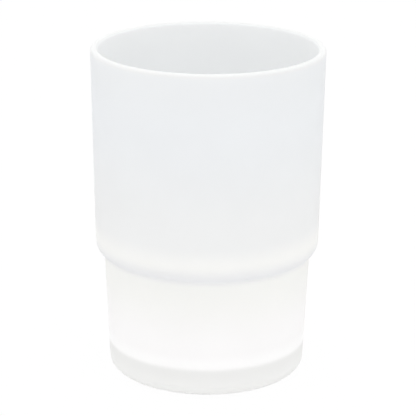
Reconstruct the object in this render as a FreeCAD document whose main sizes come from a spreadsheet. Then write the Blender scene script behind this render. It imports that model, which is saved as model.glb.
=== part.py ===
import FreeCAD, Part
import os

import Sketcher

# Stepped satin bathroom tumbler. A moulded wall with a rounded lip steps in at a shoulder and turns in at
# the foot. A thick base disc drops in from the mouth, sits on that in-turned foot and is cemented there, and
# the cement fills the groove round the disc's top edge. The origin is the middle of the foot; +Z is up.

# Driving dimensions, in millimetres.
SIZES = {
    "rim_diameter": 75.0,  # outside, at the mouth
    "height": 107.3,
    "wall": 2.4,  # measured level, above and below the shoulder
    "lip_round": 1.0,  # on both edges of the lip
    "shoulder_diameter": 72.5,  # outside, where the upper wall starts to turn in
    "shoulder_rise": 4.5,  # from the waist up to the straight upper wall
    "waist_height": 39.4,  # of the crisp corner under the shoulder
    "waist_diameter": 66.9,
    "waist_round": 0.4,  # in that corner
    "ledge_lift": 0.16,  # of the inner ledge's middle, over its place in an even wall
    "ledge_rise": 1.6,  # of that ledge, from the lower wall out to the upper one
    "inner_round": 2.0,  # at both bends of the ledge
    "foot_diameter": 63.4,  # outside, if the foot had no rounding
    "foot_round": 3.8,
    "foot_ring": 2.0,  # width of the flat ring that the tumbler stands on
    "foot_lip": 2.4,  # thickness of the in-turned foot
    "opening_round": 0.6,  # on both edges of the in-turned foot
    "disc_thickness": 7.0,
    "disc_lead": 0.6,  # bevel that guides the disc into its seat
    "gate_diameter": 5.0,  # moulding gate's dimple under the disc
    "gate_depth": 0.8,
    "bond_gap": 0.15,  # cement line between the disc and the wall
    "seam_groove": 1.6,  # bevel round the disc's top edge, filled by the cement
}

# Share of a wall that one rounded edge may take, so that two of them always fit.
EDGE_SHARE = 0.45
# Share of the inner ledge's length that the radius of a bend may take, so that both bends fit.
BEND_SHARE = 0.65
# How far a found point or edge may be from where it is looked for.
TOLERANCE = 0.001


def make_sheet(doc):
    """The driving dimensions as a sheet with one alias for each."""
    sheet = doc.addObject("Spreadsheet::Sheet", "Sizes")
    for row, (alias, value) in enumerate(SIZES.items(), start=1):
        sheet.set(f"A{row}", alias)
        sheet.set(f"B{row}", str(value))
        sheet.setAlias(f"B{row}", alias)
    doc.recompute()


# Heights and radii that several pieces share, as expressions on the sheet.
SHOULDER_TOP = "(Sizes.waist_height + Sizes.shoulder_rise)"
FLOOR = "(Sizes.foot_lip + Sizes.disc_thickness)"
GROOVE_FOOT = f"({FLOOR} - Sizes.seam_groove)"
BEAD_TOP = f"({FLOOR} + Sizes.seam_groove + Sizes.bond_gap)"
FOOT_OPENING = "(Sizes.foot_diameter / 2 - Sizes.foot_round - Sizes.foot_ring)"
SHOULDER_STEP = "((Sizes.shoulder_diameter - Sizes.waist_diameter) / 2)"
SHOULDER_SLOPE = f"hypot({SHOULDER_STEP}; Sizes.shoulder_rise)"
# An even wall's inner bend lies above its outer one by the wall times the tangent of half the turn.
EVEN_LIFT = f"(Sizes.wall * {SHOULDER_STEP} / ({SHOULDER_SLOPE} + Sizes.shoulder_rise))"
LEDGE_MIDDLE = f"(Sizes.waist_height + Sizes.shoulder_rise / 2 + {EVEN_LIFT} + Sizes.ledge_lift)"
LEDGE_FOOT = f"({LEDGE_MIDDLE} - Sizes.ledge_rise / 2)"
LEDGE_TOP = f"({LEDGE_MIDDLE} + Sizes.ledge_rise / 2)"
LIP_RADIUS = f"min(Sizes.lip_round; Sizes.wall * {EDGE_SHARE})"
OPENING_RADIUS = f"min(Sizes.opening_round; Sizes.foot_lip * {EDGE_SHARE})"


def outer_below(height):
    """Outer radius of the tapered lower wall at a height."""
    taper = "(Sizes.waist_diameter - Sizes.foot_diameter) / 2 / Sizes.waist_height"
    return f"(Sizes.foot_diameter / 2 + {taper} * {height})"


def inner_below(height):
    """Inner radius of the lower wall at a height."""
    return f"({outer_below(height)} - Sizes.wall)"


def disc_radius(height):
    """Radius of the base disc's side at a height: the inner wall less the cement line."""
    return f"({inner_below(height)} - Sizes.bond_gap)"


def tangent_arc(before, start, end):
    """The arc from start to end that leaves start in line with before-start."""
    along = (start - before).normalize()
    chord = end - start
    across = chord - along * chord.dot(along)
    radius = chord.Length**2 / (2 * across.Length)
    centre = start + across.normalize() * radius
    middle = (start + end) / 2 - centre
    return Part.Arc(start, centre + middle.normalize() * radius, end)


def section(body, name, corners, arc_to=None):
    """A closed sketch on the body's XZ plane through named corners.

    Each corner is a name, a radius and a height, the last two as expressions on the sheet. The edges are
    straight, apart from the one that ends at the corner arc_to: it is an arc in line with the edge before it.
    Corners on the axis or on the standing plane are held to it, a corner level with or above the last one is
    held by that, and every other place is a dimension bound to the sheet.
    """
    sheet = body.Document.getObject("Sizes")
    plane = next(f for f in body.Origin.OriginFeatures if f.Role == "XZ_Plane")
    sketch = body.newObject("Sketcher::SketchObject", name)
    sketch.AttachmentSupport = [(plane, "")]
    sketch.MapMode = "FlatFace"

    places = []
    for _, radius, height in corners:
        x, y = (float(sheet.evalExpression(expression)) for expression in (radius, height))
        places.append(FreeCAD.Vector(x, y, 0))

    names = [corner[0] for corner in corners]
    bent = [corner == arc_to for corner in names[1:] + names[:1]]
    starts = []
    ends = []
    for i, (start, end) in enumerate(zip(places, places[1:] + places[:1])):
        if bent[i]:
            curve = tangent_arc(places[i - 1], start, end)
        else:
            curve = Part.LineSegment(start, end)
        edge = sketch.addGeometry(curve)
        forward = (sketch.getPoint(edge, 1) - start).Length < TOLERANCE
        starts.append((edge, 1 if forward else 2))
        ends.append((edge, 2 if forward else 1))

    for i, start in enumerate(starts):
        joint = "Tangent" if bent[i] else "Coincident"
        sketch.addConstraint(Sketcher.Constraint(joint, *ends[i - 1], *start))

    # A sketch numbers its own axes this way.
    level_axis = -1
    upright_axis = -2
    for i, (corner, radius, height) in enumerate(corners):
        _, last_radius, last_height = corners[i - 1]
        if radius == "0":
            sketch.addConstraint(Sketcher.Constraint("PointOnObject", *starts[i], upright_axis))
        elif i and radius == last_radius:
            sketch.addConstraint(Sketcher.Constraint("Vertical", starts[i - 1][0]))
        else:
            bind(sketch, "DistanceX", starts[i], f"{corner}_radius", places[i].x, radius)
        if height == "0":
            sketch.addConstraint(Sketcher.Constraint("PointOnObject", *starts[i], level_axis))
        elif i and height == last_height:
            sketch.addConstraint(Sketcher.Constraint("Horizontal", starts[i - 1][0]))
        else:
            bind(sketch, "DistanceY", starts[i], f"{corner}_height", places[i].y, height)
    body.Document.recompute()
    return sketch


def bind(sketch, kind, point, name, value, expression):
    """A named distance from the origin to a point of the sketch, bound to the sheet."""
    origin = (-1, 1)
    index = sketch.addConstraint(Sketcher.Constraint(kind, *origin, *point, value))
    sketch.renameConstraint(index, name)
    sketch.setExpression(f"Constraints.{name}", expression)


def revolve(body, sketch, name):
    """The section carried once round the tumbler's axis."""
    revolution = body.newObject("PartDesign::Revolution", name)
    revolution.Profile = sketch
    revolution.ReferenceAxis = (sketch, ["V_Axis"])
    revolution.Angle = 360.0
    body.Document.recompute()


def round_rings(body, name, radius, rings):
    """A fillet on the round edges at these radii and heights, both expressions on the sheet."""
    sheet = body.Document.getObject("Sizes")
    base = body.Tip
    edges = []
    for ring_radius, ring_height in rings:
        r, z = (float(sheet.evalExpression(expression)) for expression in (ring_radius, ring_height))
        found = [
            f"Edge{i}"
            for i, edge in enumerate(base.Shape.Edges, start=1)
            if isinstance(edge.Curve, Part.Circle)
            and abs(edge.Curve.Radius - r) < TOLERANCE
            and abs(edge.Curve.Center.z - z) < TOLERANCE
        ]
        if not found:
            raise RuntimeError(f"{body.Label}: {name} finds no edge of radius {r:.3f} at height {z:.3f}")
        edges += found
    fillet = body.newObject("PartDesign::Fillet", name)
    fillet.Base = (base, edges)
    fillet.setExpression("Radius", radius)
    body.Document.recompute()


def make_stepped_wall(doc):
    """The moulded wall: lip, upper wall, shoulder, lower wall and in-turned foot."""
    body = doc.addObject("PartDesign::Body", "stepped_wall")
    rim = "Sizes.rim_diameter / 2"
    shoulder = "Sizes.shoulder_diameter / 2"
    waist = "Sizes.waist_diameter / 2"
    inner_rim = f"({rim} - Sizes.wall)"
    inner_shoulder = f"({shoulder} - Sizes.wall)"
    inner_waist = inner_below(LEDGE_FOOT)
    sketch = section(
        body,
        "wall_section",
        [
            ("rim", rim, "Sizes.height"),
            ("shoulder", shoulder, SHOULDER_TOP),
            ("waist", waist, "Sizes.waist_height"),
            ("foot", "Sizes.foot_diameter / 2", "0"),
            ("opening", FOOT_OPENING, "0"),
            ("foot_edge", FOOT_OPENING, "Sizes.foot_lip"),
            ("seat", inner_below("Sizes.foot_lip"), "Sizes.foot_lip"),
            ("ledge_foot", inner_waist, LEDGE_FOOT),
            ("ledge_top", inner_shoulder, LEDGE_TOP),
            ("inner_rim", inner_rim, "Sizes.height"),
        ],
        arc_to="waist",
    )
    revolve(body, sketch, "wall_turn")
    round_rings(body, "foot_rounding", "Sizes.foot_round", [("Sizes.foot_diameter / 2", "0")])
    round_rings(body, "waist_rounding", "Sizes.waist_round", [(waist, "Sizes.waist_height")])
    ledge = f"hypot({inner_shoulder} - {inner_waist}; Sizes.ledge_rise)"
    bends = [(inner_waist, LEDGE_FOOT), (inner_shoulder, LEDGE_TOP)]
    round_rings(body, "inner_bends", f"min(Sizes.inner_round; {BEND_SHARE} * {ledge})", bends)
    foot_edges = [(FOOT_OPENING, "0"), (FOOT_OPENING, "Sizes.foot_lip")]
    round_rings(body, "opening_rounding", OPENING_RADIUS, foot_edges)
    round_rings(body, "lip_rounding", LIP_RADIUS, [(rim, "Sizes.height"), (inner_rim, "Sizes.height")])
    return body


def make_base_disc(doc):
    """The thick disc on the in-turned foot, with its guiding bevel, seam groove and gate dimple."""
    body = doc.addObject("PartDesign::Body", "base_disc")
    gate_top = "Sizes.foot_lip + Sizes.gate_depth"
    lead_top = "Sizes.foot_lip + Sizes.disc_lead"
    sketch = section(
        body,
        "disc_section",
        [
            ("gate_middle", "0", gate_top),
            ("gate_roof", "Sizes.gate_diameter / 2", gate_top),
            ("gate_mouth", "Sizes.gate_diameter / 2", "Sizes.foot_lip"),
            ("underside", f"{disc_radius('Sizes.foot_lip')} - Sizes.disc_lead", "Sizes.foot_lip"),
            ("lead", disc_radius(f"({lead_top})"), lead_top),
            ("groove_foot", disc_radius(GROOVE_FOOT), GROOVE_FOOT),
            ("groove_top", f"{disc_radius(FLOOR)} - Sizes.seam_groove", FLOOR),
            ("floor_middle", "0", FLOOR),
        ],
    )
    revolve(body, sketch, "disc_turn")
    return body


def make_seam_bead(doc):
    """The ring of cement in the groove, hollowed where it meets the floor and the wall."""
    body = doc.addObject("PartDesign::Body", "seam_bead")
    sketch = section(
        body,
        "bead_section",
        [
            ("floor_edge", f"{disc_radius(FLOOR)} - Sizes.seam_groove", FLOOR),
            ("groove_foot", disc_radius(GROOVE_FOOT), GROOVE_FOOT),
            ("wall_foot", inner_below(GROOVE_FOOT), GROOVE_FOOT),
            ("wall_top", inner_below(BEAD_TOP), BEAD_TOP),
        ],
        arc_to="floor_edge",
    )
    revolve(body, sketch, "bead_turn")
    return body


def check(doc, bodies):
    """Stops the build if a feature failed or a piece isn't one sound solid."""
    for thing in doc.Objects:
        if {"Invalid", "Error"} & set(thing.State):
            raise RuntimeError(f"{thing.Label} failed: {thing.State}")
    for body in bodies:
        shape = body.Shape
        if shape.isNull() or not shape.isValid() or len(shape.Solids) != 1:
            raise RuntimeError(f"{body.Label} isn't one sound solid")


def main():
    doc = FreeCAD.newDocument("tumbler")
    make_sheet(doc)
    bodies = [make_stepped_wall(doc), make_base_disc(doc), make_seam_bead(doc)]
    doc.recompute()
    check(doc, bodies)
    os.makedirs("parts", exist_ok=True)
    for body in bodies:
        body.Shape.exportStep(f"parts/{body.Label}.step")
        box = body.Shape.BoundBox
        print(f"{body.Label}: {body.Shape.Volume / 1000:.2f} ml, height {box.ZMin:.2f} to {box.ZMax:.2f} mm")


main()
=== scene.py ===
import math

import bpy
import numpy as np
from mathutils import Matrix, Vector


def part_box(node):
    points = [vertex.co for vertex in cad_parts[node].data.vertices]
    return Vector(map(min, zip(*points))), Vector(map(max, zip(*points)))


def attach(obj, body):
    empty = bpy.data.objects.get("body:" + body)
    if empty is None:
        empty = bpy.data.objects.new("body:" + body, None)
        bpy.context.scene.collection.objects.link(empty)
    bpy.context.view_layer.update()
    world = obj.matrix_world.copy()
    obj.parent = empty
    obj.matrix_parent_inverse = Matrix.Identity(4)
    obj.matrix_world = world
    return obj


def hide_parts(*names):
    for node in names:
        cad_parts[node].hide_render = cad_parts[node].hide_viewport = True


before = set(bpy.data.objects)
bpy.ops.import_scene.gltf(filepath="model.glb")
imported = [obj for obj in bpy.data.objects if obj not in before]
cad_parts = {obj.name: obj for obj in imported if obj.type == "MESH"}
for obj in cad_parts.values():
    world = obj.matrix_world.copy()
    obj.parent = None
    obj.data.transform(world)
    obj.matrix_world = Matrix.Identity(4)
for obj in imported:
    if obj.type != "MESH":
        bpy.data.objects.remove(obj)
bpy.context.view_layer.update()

# Satin stepped bathroom tumbler. Lengths are in metres, and the axis of the tumbler is the Z axis.
MM = 0.001

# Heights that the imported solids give.
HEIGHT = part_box("stepped_wall")[1].z
SEAT_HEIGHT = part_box("base_disc")[0].z
FLOOR_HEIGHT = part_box("base_disc")[1].z

# The moulded wall.
RIM_RADIUS = 37.5 * MM
WALL = 2.4 * MM
LIP_ROUND = 1.0 * MM
SHOULDER_RADIUS = 36.25 * MM
SHOULDER_TOP = 43.9 * MM
WAIST_RADIUS = 33.45 * MM
WAIST_HEIGHT = 39.4 * MM
WAIST_ROUND = 0.4 * MM
LEDGE_LIFT = 0.16 * MM
LEDGE_RISE = 1.6 * MM
INNER_ROUND = 2.0 * MM
FOOT_RADIUS = 31.7 * MM
FOOT_ROUND = 3.8 * MM
FOOT_RING = 2.0 * MM
OPENING_ROUND = 0.6 * MM
SEAT_ROUND = 0.15 * MM

# The base disc and its cement.
BOND_GAP = 0.15 * MM
SEAM_GROOVE = 1.6 * MM
DISC_LEAD = 0.6 * MM
GATE_RADIUS = 2.5 * MM
GATE_DEPTH = 0.8 * MM
EDGE_ROUND = 0.12 * MM
BEAD_EDGE = math.radians(8)

# The turned surfaces' grid.
TURN_STEPS = 192
ARC_STEPS = 12
FEWEST_STEPS = 3
LONGEST_RUN = 2.5 * MM
SHORTEST_RUN = 0.001 * MM
LEAST_TURN = 1e-6
SHARP_ANGLE = math.radians(40)

# The etched face: sizes of its noises, and how much each one changes.
GRAIN_SIZE = 0.25 * MM
GRAIN_DEPTH = 0.03 * MM
GRAIN_STRENGTH = 0.2
SHEEN_SIZE = 3.0 * MM
SHEEN_CHANGE = 0.05
CLOUD_SIZE = 14.0 * MM
CLOUD_TONE = 0.992
# Most of a noise lies between these values.
NOISE_LOW = 0.3
NOISE_HIGH = 0.7

# How rough the pieces are, and the heights where handling has rubbed lip and foot to a share of that.
WALL_ROUGH = 0.6
CEMENT_ROUGH = 0.3
RUBBED = 0.75
LIP_RUB_LOW = HEIGHT - 2.0 * MM
LIP_RUB_HIGH = HEIGHT - 0.8 * MM
FOOT_RUB_LOW = 0.2 * MM
FOOT_RUB_HIGH = 1.2 * MM

# The plastic's gloss, and the share of the light that goes on through each piece.
# The wall's share rises with height.
PLASTIC_IOR = 1.49
SPECULAR = 0.2
LOW_WALL_THROUGH = 0.1
HIGH_WALL_THROUGH = 0.4
THROUGH_RISE_LOW = 15.0 * MM
THROUGH_RISE_HIGH = 40.0 * MM
DISC_THROUGH = 0.25
CEMENT_THROUGH = 0.25

# Tints along the height, with painted light and shade in them: greyer or cooler where shade is painted,
# warmer and lighter where painted glow stands for light behind the plastic.
# Painted light on the sole against the floor's contact shadow, and painted shade on the base band, darkest
# at its top edge.
SOLE_LIGHT_TINT = (1.0, 1.0, 0.99)
FOOT_SHADE_TINT = (0.93, 0.93, 0.92)
EDGE_SHADE_TINT = (0.87, 0.87, 0.86)
# Painted glow just over the disc's floor, fading up the lower wall.
FLOOR_GLOW_TINT = (1.0, 0.995, 0.995)
GLOW_TINT = (0.96, 0.95, 0.95)
LOWER_GLOW_TINT = (0.985, 0.982, 0.962)
# Painted shade under the shoulder, at the crease, and a painted light band on the shoulder above it.
CREASE_SHADE_TINT = (0.88, 0.88, 0.895)
BAND_LIGHT_TINT = (0.995, 0.99, 0.975)
UPPER_TINT = (0.935, 0.936, 0.936)
BROW_TINT = (0.915, 0.926, 0.94)
# Painted shade under the lip, and the lip itself darkened against the overhead lamp.
NECK_SHADE_TINT = (0.90, 0.91, 0.92)
LIP_SIDE_SHADE_TINT = (0.92, 0.92, 0.915)
LIP_SHADE_TINT = (0.955, 0.955, 0.95)
WALL_LIGHT_AND_SHADE = (
    (0.3 * MM, SOLE_LIGHT_TINT),
    (2.0 * MM, FOOT_SHADE_TINT),
    (8.7 * MM, EDGE_SHADE_TINT),
    (10.5 * MM, FLOOR_GLOW_TINT),
    (15.0 * MM, GLOW_TINT),
    (37.5 * MM, LOWER_GLOW_TINT),
    (40.6 * MM, CREASE_SHADE_TINT),
    (45.6 * MM, BAND_LIGHT_TINT),
    (52.0 * MM, UPPER_TINT),
    (90.0 * MM, BROW_TINT),
    (HEIGHT - 1.8 * MM, NECK_SHADE_TINT),
    (HEIGHT - 0.6 * MM, LIP_SIDE_SHADE_TINT),
    (HEIGHT, LIP_SHADE_TINT),
)
# The disc and cement: painted shade at the bottom, painted glow on the floor face.
DISC_LIGHT_AND_SHADE = ((0.0, FOOT_SHADE_TINT), (FLOOR_HEIGHT, FLOOR_GLOW_TINT))

# The wall's inner face has one tint, a painted light that makes the inside of the cup lighter, from this
# far below the lip's top.
INNER_LIGHT_TINT = (0.995, 1.0, 1.0)
INSIDE_DROP = 0.3 * MM

# Light and floor. The lamp's power is in watts.
SKY = 1.0
LAMP = 3.5
LAMP_SIZE = 0.8
LAMP_HEIGHT = 1.2
FLOOR_REACH = 4.0
FLOOR_DROP = 0.1 * MM
FLOOR_TONE = 0.96
FLOOR_WHITE = 0.97
LIGHT_BOUNCES = 32


def inner_radius(height):
    """Inner radius of the lower wall: the outer taper from foot to waist, less the wall."""
    return FOOT_RADIUS + (WAIST_RADIUS - FOOT_RADIUS) * height / WAIST_HEIGHT - WALL


def rounded_outline(corners, closed):
    """An outline in the plane of radius and height, with each corner rounded.

    A corner is a radius, a height and a rounding. The arc is tangent to both of its edges, so it leaves
    them rounding times tan(turn / 2) before and after the corner and turns at an even rate between.
    Along the straight runs the points crowd towards the ends, as (1 - cos) does, so that the shading
    turns only in the arcs.
    """
    places = np.array([corner[:2] for corner in corners], float)
    if closed:
        before = np.roll(places, 1, axis=0)
        after = np.roll(places, -1, axis=0)
    else:
        before = np.vstack([2 * places[:1] - places[1:2], places[:-1]])
        after = np.vstack([places[1:], 2 * places[-1:] - places[-2:-1]])
    arcs = []
    for last, place, following, corner in zip(before, places, after, corners):
        coming = (place - last) / np.linalg.norm(place - last)
        going = (following - place) / np.linalg.norm(following - place)
        left = np.array([-coming[1], coming[0]])
        turn = math.atan2(going @ left, going @ coming)
        start = place - coming * corner[2] * math.tan(abs(turn) / 2)
        angle = np.linspace(0, abs(turn), ARC_STEPS + 1)[:, None]
        side = left * math.copysign(1, turn)
        arc = start + corner[2] * (np.sin(angle) * coming + (1 - np.cos(angle)) * side)
        arcs.append(arc if corner[2] and abs(turn) > LEAST_TURN else place[None])
    outline = []
    joins = zip(arcs, arcs[1:] + arcs[:1]) if closed else zip(arcs[:-1], arcs[1:])
    for arc, following in joins:
        run = following[0] - arc[-1]
        length = np.linalg.norm(run)
        if length < SHORTEST_RUN:
            outline.append(arc[:-1])
            continue
        steps = max(FEWEST_STEPS, math.ceil(length / LONGEST_RUN))
        share = (1 - np.cos(np.linspace(0, math.pi, steps + 1)[1:-1])) / 2
        outline += [arc, arc[-1] + share[:, None] * run]
    if not closed:
        outline.append(arcs[-1])
    return np.vstack(outline)


def turned(name, outline, closed=True):
    """A surface turned about Z: the point at (outline, angle) is (r cos a, r sin a, z).

    A closed outline makes a ring. An open one starts and ends on the axis, and each end is one pole vertex.
    """
    angle = np.linspace(0, 2 * math.pi, TURN_STEPS, endpoint=False)
    rings = outline if closed else outline[1:-1]
    grid = np.empty((len(rings), TURN_STEPS, 3))
    grid[..., 0] = rings[:, :1] * np.cos(angle)
    grid[..., 1] = rings[:, :1] * np.sin(angle)
    grid[..., 2] = rings[:, 1:]
    number = np.arange(len(rings) * TURN_STEPS).reshape(len(rings), TURN_STEPS)
    lower = number if closed else number[:-1]
    upper = np.roll(number, -1, axis=0) if closed else number[1:]
    around = np.roll(np.arange(TURN_STEPS), -1)
    quads = np.stack([lower, lower[:, around], upper[:, around], upper], axis=-1).reshape(-1, 4)
    points = grid.reshape(-1, 3)
    faces = quads.tolist()
    if not closed:
        first = len(points)
        points = np.vstack([points, [[0, 0, outline[0, 1]], [0, 0, outline[-1, 1]]]])
        start_fan = np.stack([np.full(TURN_STEPS, first), number[0, around], number[0]], axis=-1)
        end_fan = np.stack([number[-1], number[-1, around], np.full(TURN_STEPS, first + 1)], axis=-1)
        faces += start_fan.tolist() + end_fan.tolist()
    mesh = bpy.data.meshes.new(name)
    mesh.from_pydata(points.tolist(), [], faces)
    mesh.polygons.foreach_set("use_smooth", np.ones(len(mesh.polygons), bool))
    mesh.set_sharp_from_angle(angle=SHARP_ANGLE)
    piece = bpy.data.objects.new(name, mesh)
    bpy.context.scene.collection.objects.link(piece)
    return piece


def shoulder_corner():
    """Where the upper wall's line meets the shoulder's lower tangent, and the rounding between them.

    The shoulder is an arc that leaves the upper wall in line and ends at the waist, so the two tangents are
    equally long; the waist's own rounding takes its share of the lower one.
    """
    rim = np.array([RIM_RADIUS, HEIGHT])
    shoulder = np.array([SHOULDER_RADIUS, SHOULDER_TOP])
    waist = np.array([WAIST_RADIUS, WAIST_HEIGHT])
    foot = np.array([FOOT_RADIUS, 0.0])
    down = (shoulder - rim) / np.linalg.norm(shoulder - rim)
    chord = waist - shoulder
    length = np.linalg.norm(chord)
    half_turn = math.acos(chord @ down / length)
    tangent = length / (2 * math.cos(half_turn))
    corner = shoulder + down * tangent
    under = (waist - corner) / tangent
    lower = (foot - waist) / np.linalg.norm(foot - waist)
    waist_turn = math.acos(under @ lower)
    taken = WAIST_ROUND * math.tan(waist_turn / 2)
    return (*corner, (tangent - taken) / math.tan(half_turn))


def make_wall():
    """The moulded wall: a closed outline from the lip down the inside, round the foot and up the outside.

    The attribute "inside" is 1 on the inner face, from just below the lip's top down to the disc's seat.
    """
    opening = FOOT_RADIUS - FOOT_ROUND - FOOT_RING
    step = SHOULDER_RADIUS - WAIST_RADIUS
    rise = SHOULDER_TOP - WAIST_HEIGHT
    even_lift = WALL * step / (math.hypot(step, rise) + rise)
    ledge = WAIST_HEIGHT + rise / 2 + even_lift + LEDGE_LIFT - LEDGE_RISE / 2
    outline = rounded_outline(
        [
            (RIM_RADIUS - WALL, HEIGHT, LIP_ROUND),
            (SHOULDER_RADIUS - WALL, ledge + LEDGE_RISE, INNER_ROUND),
            (inner_radius(ledge), ledge, INNER_ROUND),
            (inner_radius(SEAT_HEIGHT), SEAT_HEIGHT, SEAT_ROUND),
            (opening, SEAT_HEIGHT, OPENING_ROUND),
            (opening, 0.0, OPENING_ROUND),
            (FOOT_RADIUS, 0.0, FOOT_ROUND),
            (WAIST_RADIUS, WAIST_HEIGHT, WAIST_ROUND),
            shoulder_corner(),
            (RIM_RADIUS, HEIGHT, LIP_ROUND),
        ],
        closed=True,
    )
    wall = turned("satin_wall", outline)
    height = outline[:, 1]
    seat = np.argmax(height < SEAT_HEIGHT + SEAT_ROUND)
    inside = (np.arange(len(outline)) < seat) & (height < HEIGHT - INSIDE_DROP)
    mark = wall.data.attributes.new("inside", "FLOAT", "POINT")
    mark.data.foreach_set("value", np.repeat(inside.astype(np.float32), TURN_STEPS))
    return wall


def make_disc():
    """The thick base disc: an outline from the middle of its underside out, up its side and back in."""
    groove = FLOOR_HEIGHT - SEAM_GROOVE
    lead = SEAT_HEIGHT + DISC_LEAD
    outline = rounded_outline(
        [
            (0.0, SEAT_HEIGHT + GATE_DEPTH, 0.0),
            (GATE_RADIUS, SEAT_HEIGHT + GATE_DEPTH, EDGE_ROUND),
            (GATE_RADIUS, SEAT_HEIGHT, EDGE_ROUND),
            (inner_radius(SEAT_HEIGHT) - BOND_GAP - DISC_LEAD, SEAT_HEIGHT, EDGE_ROUND),
            (inner_radius(lead) - BOND_GAP, lead, EDGE_ROUND),
            (inner_radius(groove) - BOND_GAP, groove, EDGE_ROUND),
            (inner_radius(FLOOR_HEIGHT) - BOND_GAP - SEAM_GROOVE, FLOOR_HEIGHT, EDGE_ROUND),
            (0.0, FLOOR_HEIGHT, 0.0),
        ],
        closed=False,
    )
    return turned("base_slug", outline, closed=False)


def make_bead():
    """The cement in the groove: flat against disc and wall, hollowed by an arc between floor and wall.

    The hollow is a circle of the bead's leg about a point one leg in from the wall and one leg over the
    floor. Its ends stop short of both by a few degrees, because a cement's edge isn't a knife's.
    """
    groove = FLOOR_HEIGHT - SEAM_GROOVE
    leg = SEAM_GROOVE + BOND_GAP
    angle = -np.linspace(BEAD_EDGE, math.pi / 2 - BEAD_EDGE, 2 * ARC_STEPS)
    centre = np.array([inner_radius(FLOOR_HEIGHT) - leg, FLOOR_HEIGHT + leg])
    hollow = centre + leg * np.stack([np.cos(angle), np.sin(angle)], axis=-1)
    wall_side = [[inner_radius(groove), groove], [inner_radius(hollow[0, 1]), hollow[0, 1]]]
    disc_side = [[hollow[-1, 0], FLOOR_HEIGHT], [inner_radius(groove) - BOND_GAP, groove]]
    return turned("seam_ring", np.vstack([wall_side, hollow, disc_side]))


def link(tree, source, target):
    """Joins one node's output to another node's input."""
    tree.links.new(source, target)


def spread(tree, value, low, high, bottom, top):
    """The value's span low..high carried smoothly to bottom..top, and held at both ends."""
    made = tree.nodes.new("ShaderNodeMapRange")
    made.interpolation_type = "SMOOTHSTEP"
    made.inputs["From Min"].default_value = low
    made.inputs["From Max"].default_value = high
    made.inputs["To Min"].default_value = bottom
    made.inputs["To Max"].default_value = top
    link(tree, value, made.inputs["Value"])
    return made.outputs["Result"]


def times(tree, first, second):
    """The product of two values."""
    made = tree.nodes.new("ShaderNodeMath")
    made.operation = "MULTIPLY"
    link(tree, first, made.inputs[0])
    link(tree, second, made.inputs[1])
    return made.outputs[0]


def mottle(tree, place, size, detail):
    """Noise over the piece's own coordinates, with features of about the given size."""
    made = tree.nodes.new("ShaderNodeTexNoise")
    made.inputs["Scale"].default_value = 1 / size
    made.inputs["Detail"].default_value = detail
    link(tree, place, made.inputs["Vector"])
    return made.outputs["Fac"]


def tint_by_height(tree, height, tints):
    """Colour of the plastic along its height, eased between (height, colour) stops of painted light and
    shade.
    """
    top = tints[-1][0]
    share = tree.nodes.new("ShaderNodeMapRange")
    share.inputs["From Max"].default_value = top
    link(tree, height, share.inputs["Value"])
    made = tree.nodes.new("ShaderNodeValToRGB")
    ramp = made.color_ramp
    ramp.interpolation = "EASE"
    ramp.elements[0].position = tints[0][0] / top
    ramp.elements[0].color = (*tints[0][1], 1)
    ramp.elements[1].position = 1.0
    ramp.elements[1].color = (*tints[-1][1], 1)
    for stop, colour in tints[1:-1]:
        ramp.elements.new(stop / top).color = (*colour, 1)
    link(tree, share.outputs["Result"], made.inputs["Fac"])
    return made.outputs["Color"]


def tint_inside(tree, colour, tint):
    """The colour, or the tint where the piece's attribute "inside" is 1."""
    inside = tree.nodes.new("ShaderNodeAttribute")
    inside.attribute_name = "inside"
    made = tree.nodes.new("ShaderNodeMix")
    made.data_type = "RGBA"
    made.inputs["B"].default_value = (*tint, 1)
    link(tree, inside.outputs["Fac"], made.inputs["Factor"])
    link(tree, colour, made.inputs["A"])
    return made.outputs["Result"]


def clouded(tree, place, colour):
    """The colour, a little darker in wide soft patches."""
    patches = mottle(tree, place, CLOUD_SIZE, detail=2.0)
    made = tree.nodes.new("ShaderNodeMix")
    made.data_type = "RGBA"
    made.blend_type = "MULTIPLY"
    made.inputs["Factor"].default_value = 1.0
    link(tree, colour, made.inputs["A"])
    link(tree, spread(tree, patches, NOISE_LOW, NOISE_HIGH, CLOUD_TONE, 1.0), made.inputs["B"])
    return made.outputs["Result"]


def rubbed_sheen(tree, place, height, rough):
    """Roughness that changes in small patches, and is less on the lip and under the foot."""
    patches = mottle(tree, place, SHEEN_SIZE, detail=3.0)
    sheen = spread(tree, patches, NOISE_LOW, NOISE_HIGH, rough - SHEEN_CHANGE, rough + SHEEN_CHANGE)
    lip = spread(tree, height, LIP_RUB_LOW, LIP_RUB_HIGH, 1.0, RUBBED)
    foot = spread(tree, height, FOOT_RUB_LOW, FOOT_RUB_HIGH, RUBBED, 1.0)
    return times(tree, sheen, times(tree, lip, foot))


def etched_grain(tree, place):
    """The etched face's fine bumps."""
    made = tree.nodes.new("ShaderNodeBump")
    made.inputs["Strength"].default_value = GRAIN_STRENGTH
    made.inputs["Distance"].default_value = GRAIN_DEPTH
    link(tree, mottle(tree, place, GRAIN_SIZE, detail=1.0), made.inputs["Height"])
    return made.outputs["Normal"]


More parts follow.
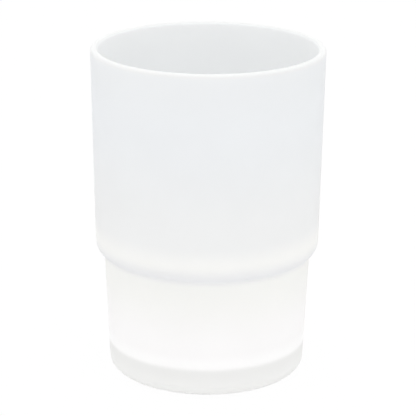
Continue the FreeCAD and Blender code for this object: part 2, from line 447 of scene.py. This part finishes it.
def satin_plastic(name, tints, rough, through, inner_light_tint=None):
    """Milky plastic with an etched face: a share of the light goes on through it, the rest is scattered.

    The share is one number, or for a piece that passes more light above than below, one for each.
    """
    material = bpy.data.materials.new(name)
    material.use_nodes = True
    tree = material.node_tree
    place = tree.nodes.new("ShaderNodeTexCoord").outputs["Object"]
    axes = tree.nodes.new("ShaderNodeSeparateXYZ")
    link(tree, place, axes.inputs[0])
    height = axes.outputs["Z"]

    colour = tint_by_height(tree, height, tints)
    # The inner face takes its painted light.
    if inner_light_tint:
        colour = tint_inside(tree, colour, inner_light_tint)
    colour = clouded(tree, place, colour)
    grain = etched_grain(tree, place)

    face = tree.nodes["Principled BSDF"]
    face.inputs["IOR"].default_value = PLASTIC_IOR
    face.inputs["Specular IOR Level"].default_value = SPECULAR
    link(tree, colour, face.inputs["Base Color"])
    link(tree, rubbed_sheen(tree, place, height, rough), face.inputs["Roughness"])
    link(tree, grain, face.inputs["Normal"])
    body = tree.nodes.new("ShaderNodeBsdfTranslucent")
    link(tree, colour, body.inputs["Color"])
    link(tree, grain, body.inputs["Normal"])
    both = tree.nodes.new("ShaderNodeMixShader")
    if isinstance(through, tuple):
        link(tree, spread(tree, height, THROUGH_RISE_LOW, THROUGH_RISE_HIGH, *through), both.inputs[0])
    else:
        both.inputs[0].default_value = through
    link(tree, face.outputs[0], both.inputs[1])
    link(tree, body.outputs[0], both.inputs[2])
    link(tree, both.outputs[0], tree.nodes["Material Output"].inputs[0])
    return material


def give(piece, material, node):
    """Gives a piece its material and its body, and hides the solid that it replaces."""
    piece.data.materials.append(material)
    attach(piece, "root")
    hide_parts(node)


def seen_directly(tree):
    """1 on rays from the camera, a reflection or a passage through plastic, and 0 on scattered rays."""
    path = tree.nodes.new("ShaderNodeLightPath")
    sight = path.outputs["Is Camera Ray"]
    for kind in ("Is Glossy Ray", "Is Transmission Ray"):
        either = tree.nodes.new("ShaderNodeMath")
        either.operation = "MAXIMUM"
        link(tree, sight, either.inputs[0])
        link(tree, path.outputs[kind], either.inputs[1])
        sight = either.outputs[0]
    return sight


def make_floor():
    """A wide pale floor. Where it is seen it is mostly plain white; the rest keeps the tumbler's shadow."""
    ends = (-FLOOR_REACH, FLOOR_REACH)
    corners = [(x, y, -FLOOR_DROP) for y in ends for x in ends]
    mesh = bpy.data.meshes.new("floor")
    mesh.from_pydata(corners, [], [(0, 1, 3, 2)])
    floor = bpy.data.objects.new("floor", mesh)
    bpy.context.scene.collection.objects.link(floor)
    material = bpy.data.materials.new("floor_white")
    material.use_nodes = True
    tree = material.node_tree
    tree.nodes.clear()
    output = tree.nodes.new("ShaderNodeOutputMaterial")
    mix = tree.nodes.new("ShaderNodeMixShader")
    paint = tree.nodes.new("ShaderNodeBsdfDiffuse")
    paint.inputs["Color"].default_value = (FLOOR_TONE, FLOOR_TONE, FLOOR_TONE, 1)
    white = tree.nodes.new("ShaderNodeEmission")
    share = tree.nodes.new("ShaderNodeMath")
    share.operation = "MULTIPLY"
    share.inputs[1].default_value = FLOOR_WHITE
    link(tree, seen_directly(tree), share.inputs[0])
    link(tree, share.outputs[0], mix.inputs[0])
    link(tree, paint.outputs[0], mix.inputs[1])
    link(tree, white.outputs[0], mix.inputs[2])
    link(tree, mix.outputs[0], output.inputs[0])
    mesh.materials.append(material)


def make_light():
    """Even white light from all round, and one wide soft lamp straight overhead."""
    scene = bpy.context.scene
    world = bpy.data.worlds.new("studio")
    scene.world = world
    world.use_nodes = True
    background = world.node_tree.nodes["Background"]
    background.inputs["Color"].default_value = (1, 1, 1, 1)
    background.inputs["Strength"].default_value = SKY
    lamp = bpy.data.lights.new("overhead", "AREA")
    lamp.shape = "DISK"
    lamp.size = LAMP_SIZE
    lamp.energy = LAMP
    holder = bpy.data.objects.new("overhead", lamp)
    holder.location = (0, 0, LAMP_HEIGHT)
    scene.collection.objects.link(holder)


def make_camera():
    """The photograph's camera: distance, elevation, lens and roll are a fit to the tumbler's outline.

    The focal length, the frame's side and the aim's offset are in the photograph's pixels.
    """
    distance = 675 * MM
    elevation = math.radians(17.84)
    roll = math.radians(-0.39)
    focal = 2075.65
    frame_side = 416
    aim_offset = (0.755, -0.603)
    right = Vector((1, 0, 0))
    up = Vector((0, math.sin(elevation), math.cos(elevation)))
    back = Vector((0, -math.cos(elevation), math.sin(elevation)))
    pixel = distance / focal
    aim = Vector((0, 0, HEIGHT / 2)) + right * aim_offset[0] * pixel + up * aim_offset[1] * pixel
    place = aim + back * distance
    turned_right = right * math.cos(roll) - up * math.sin(roll)
    turned_up = right * math.sin(roll) + up * math.cos(roll)
    data = bpy.data.cameras.new("camera")
    data.sensor_width = 36
    data.lens = focal * data.sensor_width / frame_side
    camera = bpy.data.objects.new("camera", data)
    axes = Matrix((turned_right, turned_up, back)).transposed()
    camera.matrix_world = Matrix.Translation(place) @ axes.to_4x4()
    bpy.context.scene.collection.objects.link(camera)
    bpy.context.scene.camera = camera


# The wall's and disc's tints carry painted light and shade; the wall's inner face a painted light.
wall_through = (LOW_WALL_THROUGH, HIGH_WALL_THROUGH)
wall_plastic = satin_plastic("etched_wall", WALL_LIGHT_AND_SHADE, WALL_ROUGH, wall_through, INNER_LIGHT_TINT)
disc_plastic = satin_plastic("etched_base", DISC_LIGHT_AND_SHADE, WALL_ROUGH, DISC_THROUGH)
cement = satin_plastic("cured_cement", DISC_LIGHT_AND_SHADE, CEMENT_ROUGH, CEMENT_THROUGH)
give(make_wall(), wall_plastic, "stepped_wall")
give(make_disc(), disc_plastic, "base_disc")
give(make_bead(), cement, "seam_bead")
make_floor()
make_light()
make_camera()

scene = bpy.context.scene
scene.view_settings.view_transform = "Standard"
scene.cycles.max_bounces = LIGHT_BOUNCES
scene.cycles.diffuse_bounces = LIGHT_BOUNCES
scene.cycles.glossy_bounces = LIGHT_BOUNCES
scene.cycles.transmission_bounces = LIGHT_BOUNCES
